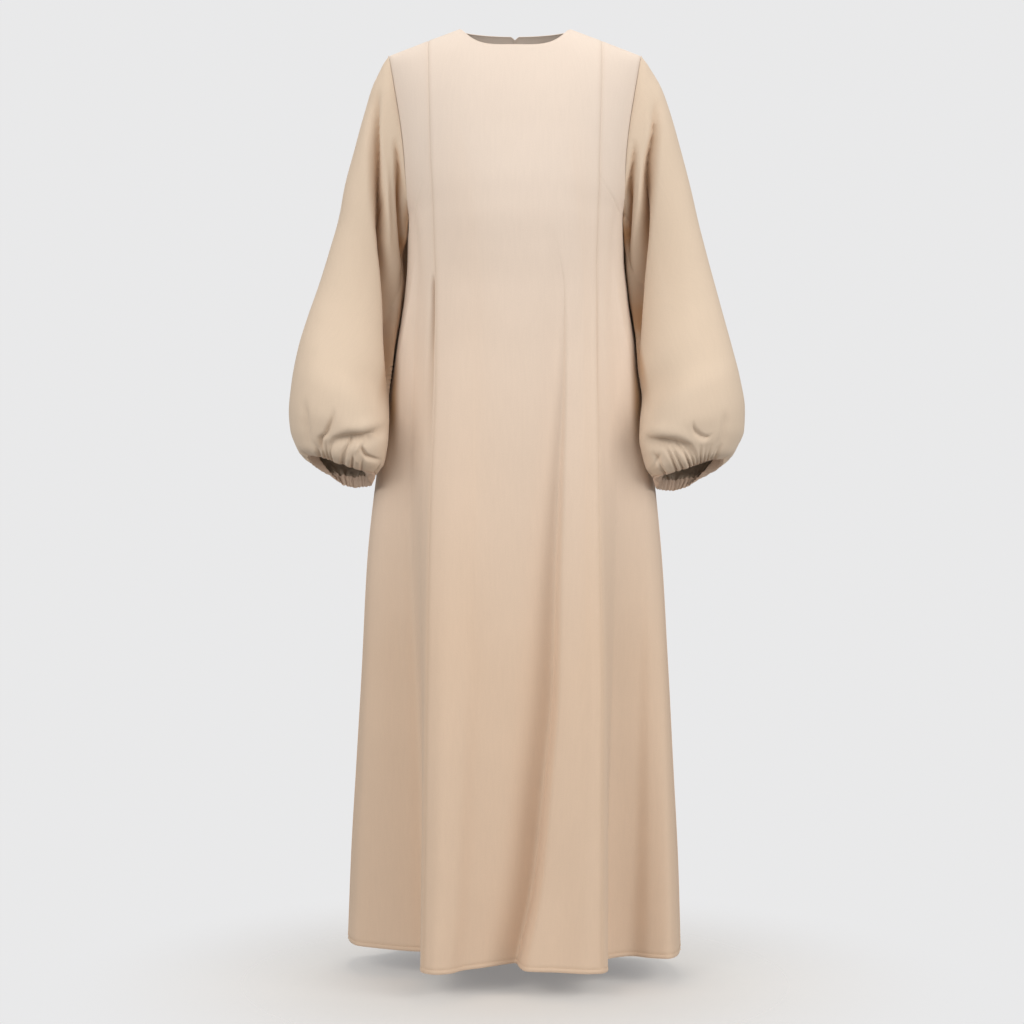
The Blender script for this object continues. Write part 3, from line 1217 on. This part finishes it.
# %% Build the weave group
def new_group(name, inputs, outputs):
    group = bpy.data.node_groups.new(name, "ShaderNodeTree")
    for title, kind, value in inputs:
        socket = group.interface.new_socket(title, in_out="INPUT", socket_type=kind)
        if value is not None:
            socket.default_value = value
    for title, kind in outputs:
        group.interface.new_socket(title, in_out="OUTPUT", socket_type=kind)
    return group, group.nodes.new("NodeGroupInput").outputs, group.nodes.new("NodeGroupOutput")


def feed(tree, node, inputs):
    """Feed the node's inputs, by name or number. A socket is linked and a plain value is set."""
    for key, value in inputs.items():
        if isinstance(value, bpy.types.NodeSocket):
            tree.links.new(value, node.inputs[key])
        else:
            node.inputs[key].default_value = value


def add_node(tree, kind, inputs=None, **settings):
    node = tree.nodes.new(kind)
    for key, value in settings.items():
        setattr(node, key, value)
    feed(tree, node, inputs or {})
    return node


def maths(tree, operation, *values):
    return add_node(tree, "ShaderNodeMath", dict(enumerate(values)), operation=operation).outputs[0]


def ridges(tree, value):
    """One rounded ridge from each whole number to the next."""
    return maths(tree, "ABSOLUTE", maths(tree, "SINE", maths(tree, "MULTIPLY", value, math.pi)))


def scaled(tree, vector, scale):
    return add_node(tree, "ShaderNodeVectorMath", {0: vector, "Scale": scale}, operation="SCALE").outputs[0]


def noise(tree, vector, scale, detail, roughness=0.5):
    settings = {"Vector": vector, "Scale": scale, "Detail": detail, "Roughness": roughness}
    return add_node(tree, "ShaderNodeTexNoise", settings).outputs


def ranged(tree, value, start, end, first, last, interpolation="LINEAR"):
    """The value's range from start to end, turned into first to last."""
    settings = {"Value": value, "From Min": start, "From Max": end, "To Min": first, "To Max": last}
    return add_node(tree, "ShaderNodeMapRange", settings, interpolation_type=interpolation).outputs["Result"]


def mixed(tree, share, first, second):
    """One colour turned into another by a share."""
    return add_node(tree, "ShaderNodeMix", {0: share, 6: first, 7: second}, data_type="RGBA").outputs[2]


VECTOR, FLOAT, COLOUR = "NodeSocketVector", "NodeSocketFloat", "NodeSocketColor"
YARN_HEIGHT = 0.35
PEBBLE_RANGE = (0.3, 0.7)

weave, given, result = new_group(
    "crepe_weave",
    [("Vector", VECTOR, None), ("Yarn", FLOAT, 0.0005), ("Pebble", FLOAT, 0.0016)],
    [("Height", FLOAT), ("Shade", FLOAT)],
)
yarns = scaled(weave, given["Vector"], maths(weave, "DIVIDE", 1.0, given["Yarn"]))
wobble = noise(weave, yarns, 0.35, 2.0)["Color"]
bent = add_node(weave, "ShaderNodeVectorMath", {0: wobble, 1: yarns}, operation="ADD").outputs[0]
split = add_node(weave, "ShaderNodeSeparateXYZ", {0: bent}).outputs
threads_up = maths(weave, "MAXIMUM", ridges(weave, split["X"]), ridges(weave, split["Y"]))
thread_height = maths(weave, "MULTIPLY", threads_up, YARN_HEIGHT)
pebbles = scaled(weave, given["Vector"], maths(weave, "DIVIDE", 1.0, given["Pebble"]))
pebble = noise(weave, pebbles, 1.0, 3.0, 0.6)["Fac"]
feed(weave, result, {
    "Height": maths(weave, "ADD", thread_height, pebble),
    "Shade": ranged(weave, pebble, *PEBBLE_RANGE, 0.0, 1.0),
})
print("nodes in the weave group:", len(weave.nodes))

# %% [markdown]
# Plain dyed cloth still has tones. The pebble's hollows are a little darker, slubs and slow patches differ
# by a percent or two, and where an iron has pressed a seam or hem the cloth is smoother, slightly shinier
# and a touch darker. Towards the hem the body's dye gets warmer, as it looks in the photograph. The shade
# deep in a fold and beside the sleeves is deeper there than lamps give, so the darker dye helps it along. A
# second group mixes all this into the colour and roughness.

# %% Build the tone group
DYE_CHANGES = (0.20, 0.95)
SLUB_SCALE = (260.0, 26.0, 1.0)
PATCH_TONE = 0.06
FINE_TONE = 0.05

tone, given, result = new_group(
    "cloth_tone",
    [
        ("Vector", VECTOR, None), ("Press", FLOAT, 0.0), ("Shade", FLOAT, 0.5),
        ("Dye", COLOUR, (0.7, 0.53, 0.4, 1)), ("Hem Dye", COLOUR, (0.7, 0.5, 0.36, 1)),
        ("Pressed Dye", COLOUR, (0.6, 0.44, 0.32, 1)),
        ("Roughness", FLOAT, 0.85), ("Pressed Roughness", FLOAT, 0.6),
    ],
    [("Color", COLOUR), ("Roughness", FLOAT)],
)
patches = noise(tone, given["Vector"], 9.0, 3.0)["Fac"]
stretched = add_node(tone, "ShaderNodeMapping", {"Vector": given["Vector"], "Scale": SLUB_SCALE}).outputs[0]
slubs = noise(tone, stretched, 1.0, 2.0)["Fac"]
light = maths(tone, "MULTIPLY_ADD", patches, PATCH_TONE, 1 - PATCH_TONE / 2)
for fine in (slubs, given["Shade"]):
    light = maths(tone, "ADD", light, maths(tone, "MULTIPLY_ADD", fine, FINE_TONE, -FINE_TONE / 2))
fallen = add_node(tone, "ShaderNodeSeparateXYZ", {0: given["Vector"]}).outputs["Y"]
hung = mixed(tone, ranged(tone, fallen, *DYE_CHANGES, 0.0, 1.0), given["Dye"], given["Hem Dye"])
dye = mixed(tone, given["Press"], hung, given["Pressed Dye"])
roughs = {0: given["Press"], 2: given["Roughness"], 3: given["Pressed Roughness"]}
rough = add_node(tone, "ShaderNodeMix", roughs).outputs[0]
feed(tone, result, {"Color": scaled(tone, dye, light), "Roughness": rough})
print("nodes in the tone group:", len(tone.nodes))

# %% [markdown]
# One function places both groups in a material. The sheen is what loose fibre ends add: at a glancing view
# cloth gets paler, not glossier. It is the same all over, so it is set on the shader itself.

# %% Dress the pieces in crepe
Finish = namedtuple("Finish", "dye pressed yarn pebble hem_dye", defaults=[None])
FINISHES = {
    "body_crepe": Finish(
        (0.750, 0.653, 0.585), (0.36, 0.22, 0.120), 0.00050, 0.0016, hem_dye=(0.750, 0.583, 0.455)
    ),
    "sleeve_crepe": Finish((0.685, 0.567, 0.458), (0.48, 0.28, 0.150), 0.00050, 0.0016),
    "cuff_crepe": Finish((0.680, 0.530, 0.430), (0.54, 0.39, 0.290), 0.00045, 0.0012),
    "turning_crepe": Finish((0.750, 0.650, 0.580), (0.70, 0.58, 0.500), 0.00050, 0.0014),
}
CLOTH_SHEEN = 0.35
SHEEN_TINT = (1.0, 0.93, 0.86, 1)
BUMP_DISTANCE = 0.00022


def new_material(name):
    material = bpy.data.materials.new(name)
    material.use_nodes = True
    return material, material.node_tree, material.node_tree.nodes["Principled BSDF"]


def crepe(name, finish):
    material, tree, shader = new_material(name)
    cloth = add_node(tree, "ShaderNodeUVMap", uv_map="cloth").outputs["UV"]
    pressed = add_node(tree, "ShaderNodeAttribute", attribute_name="press").outputs["Fac"]
    woven = add_node(tree, "ShaderNodeGroup", node_tree=weave)
    feed(tree, woven, {"Vector": cloth, "Yarn": finish.yarn, "Pebble": finish.pebble})
    toned = add_node(tree, "ShaderNodeGroup", node_tree=tone)
    feed(tree, toned, {
        "Vector": cloth, "Press": pressed, "Shade": woven.outputs["Shade"], "Dye": (*finish.dye, 1),
        "Hem Dye": (*(finish.hem_dye or finish.dye), 1), "Pressed Dye": (*finish.pressed, 1),
    })
    relief = {"Strength": 0.5, "Distance": BUMP_DISTANCE, "Height": woven.outputs["Height"]}
    feed(tree, shader, {
        "Base Color": toned.outputs["Color"], "Roughness": toned.outputs["Roughness"],
        "Normal": add_node(tree, "ShaderNodeBump", relief).outputs["Normal"], "Specular IOR Level": 0.25,
        "Sheen Weight": CLOTH_SHEEN, "Sheen Roughness": 0.45, "Sheen Tint": SHEEN_TINT,
    })
    return material


crepes = {name: crepe(name, finish) for name, finish in FINISHES.items()}
for name, piece in pieces.items():
    kind = name.split("_")[0]
    use = {"sleeve": "sleeve_crepe", "cuff": "cuff_crepe"}.get(kind, "body_crepe")
    piece.data.materials.append(crepes["turning_crepe" if name == "back_neck_strip" else use])
print("pieces dressed:", len(pieces))

# %% [markdown]
# The thread is spun polyester in the cloth's colour. Its twist is drawn as fine slanted bands, one ply after
# another along the stitch.

# %% Dress the stitches in thread
thread_material, tree, shader = new_material("thread")
where = add_node(tree, "ShaderNodeTexCoord").outputs["Object"]
waves = {"Vector": where, "Scale": 900.0, "Distortion": 1.5}
twist = add_node(tree, "ShaderNodeTexWave", waves, bands_direction="DIAGONAL").outputs["Fac"]
relief = {"Strength": 0.4, "Distance": 0.0001, "Height": twist}
feed(tree, shader, {
    "Base Color": mixed(tree, twist, (0.50, 0.36, 0.25, 1), (0.64, 0.48, 0.35, 1)),
    "Normal": add_node(tree, "ShaderNodeBump", relief).outputs["Normal"],
    "Roughness": 0.55, "Sheen Weight": 0.2,
})
for piece in threads.values():
    piece.data.materials.append(thread_material)
print("stitched panels:", len(threads))

# %% [markdown]
# ## The studio
# The cloth in the photograph is lit softly from all round, a little more from the right. Here warm lamps do
# that: one to each side, two in front and one above and behind. A dim, even world fills the shade, and only
# the camera sees it as nearly white. There is no horizon: the floor shows only as a soft shadow under the
# hem.

# %% Light the studio
Lamp = namedtuple("Lamp", "name place target_height size power")
LAMPS = (
    Lamp("left", (-2.4, -1.5, 0.5), -0.40, 1.8, 26),
    Lamp("right", (2.4, -1.5, 0.5), -0.40, 1.8, 43),
    Lamp("front left", (-1.5, -2.6, 0.6), -0.30, 1.6, 31),
    Lamp("front right", (1.5, -2.6, 0.6), -0.30, 1.6, 18),
    Lamp("top", (0.0, 0.6, 1.9), -0.50, 1.2, 26),
)
LAMP_COLOUR = (1.0, 0.96, 0.90)
WORLD_LIGHT = (0.28, 0.265, 0.245, 1)
BACKGROUND = (0.815, 0.815, 0.82, 1)

for lamp in LAMPS:
    light = bpy.data.lights.new(lamp.name, "AREA")
    light.shape = "DISK"
    light.size = lamp.size
    light.energy = lamp.power
    light.color = LAMP_COLOUR
    holder = add_object(lamp.name, light)
    holder.location = lamp.place
    way = Vector((0.0, 0.0, lamp.target_height)) - Vector(lamp.place)
    holder.rotation_euler = way.to_track_quat("-Z", "Y").to_euler()
    print(f"{lamp.name}: {lamp.power} W")

world = bpy.data.worlds.new("studio")
world.use_nodes = True
bpy.context.scene.world = world
tree = world.node_tree
seen = add_node(tree, "ShaderNodeLightPath").outputs["Is Camera Ray"]
feed(tree, tree.nodes["Background"], {"Color": mixed(tree, seen, WORLD_LIGHT, BACKGROUND)})
bpy.context.scene.view_settings.view_transform = "Standard"

# %% [markdown]
# The floor is a disc of pale paper, partly see-through, that fades out before its edge. The fade is worked
# out from its own coordinates, so it stays where it is in every view.

# %% Lay the floor
FLOOR_HEIGHT = -1.42
FLOOR_RADIUS = 1.2
FLOOR_FADE = (0.05, 0.70)
FLOOR_OPACITY = 0.74

floor_mesh = bpy.data.meshes.new("floor")
shape = bmesh.new()
bmesh.ops.create_circle(shape, cap_ends=True, segments=96, radius=FLOOR_RADIUS)
shape.to_mesh(floor_mesh)
shape.free()
floor = add_object("floor", floor_mesh)
floor.location = (0, 0, FLOOR_HEIGHT)
paper, tree, shader = new_material("paper")
where = add_node(tree, "ShaderNodeTexCoord").outputs["Object"]
far = add_node(tree, "ShaderNodeVectorMath", {0: where}, operation="LENGTH").outputs["Value"]
grain = noise(tree, where, 300.0, 2.0)["Fac"]
feed(tree, shader, {
    "Base Color": mixed(tree, grain, (0.72, 0.70, 0.68, 1), (0.75, 0.73, 0.71, 1)),
    "Alpha": ranged(tree, far, *FLOOR_FADE, FLOOR_OPACITY, 0.0, "SMOOTHSTEP"),
    "Roughness": 0.9, "Specular IOR Level": 0.1,
})
floor.data.materials.append(paper)
print("floor radius:", FLOOR_RADIUS)

# %% [markdown]
# ## Hand the pieces over
# Each shell takes its solid's place and rides on the only body. Each is declared with the flat size that it
# was cut to, so that the drape can be held against the cloth it is made of. The panels hang from their
# neighbours at the shoulder, and the sleeves from the armholes.

Cut = namedtuple("Cut", "width length area held rests_on")
CUTS = {
    "front_centre": Cut(0.390, 1.445, 0.382, "hung", ["back_left_cloth", "back_right_cloth"]),
    "front_side_left": Cut(0.310, 1.415, 0.245, "hung", ["front_centre_cloth", "back_left_cloth"]),
    "front_side_right": Cut(0.265, 1.415, 0.222, "hung", ["front_centre_cloth", "back_right_cloth"]),
    "back_left": Cut(0.355, 1.430, 0.362, "hung", ["back_right_cloth", "front_side_left_cloth"]),
    "back_right": Cut(0.408, 1.430, 0.381, "hung", ["back_left_cloth", "front_side_right_cloth"]),
    "sleeve_left": Cut(0.560, 0.645, 0.250, "gathered", ["front_side_left_cloth", "back_left_cloth"]),
    "sleeve_right": Cut(0.600, 0.655, 0.263, "gathered", ["front_side_right_cloth", "back_right_cloth"]),
    "cuff_left": Cut(0.380, 0.017, None, "gathered", ["sleeve_left_cloth"]),
    "cuff_right": Cut(0.380, 0.017, None, "gathered", ["sleeve_right_cloth"]),
}
for name, piece in pieces.items():
    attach(piece, "root")
    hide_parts(name)
for piece in threads.values():
    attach(piece, "root")
for name, cut in CUTS.items():
    piece = pieces[name]
    print(f"{name}: {piece['cloth_area']:.3f} m2 shows of a rectangle of {cut.width * cut.length:.3f} m2")
    sewn = [threads[name]] if name in threads else []
    if name == "back_right":
        sewn.append(pieces["back_neck_strip"])

# %% [markdown]
# Last, the box of the solids and that of the dressed pieces are written down, so that they can be compared.

# %% Write both boxes and finish
bpy.context.view_layer.update()
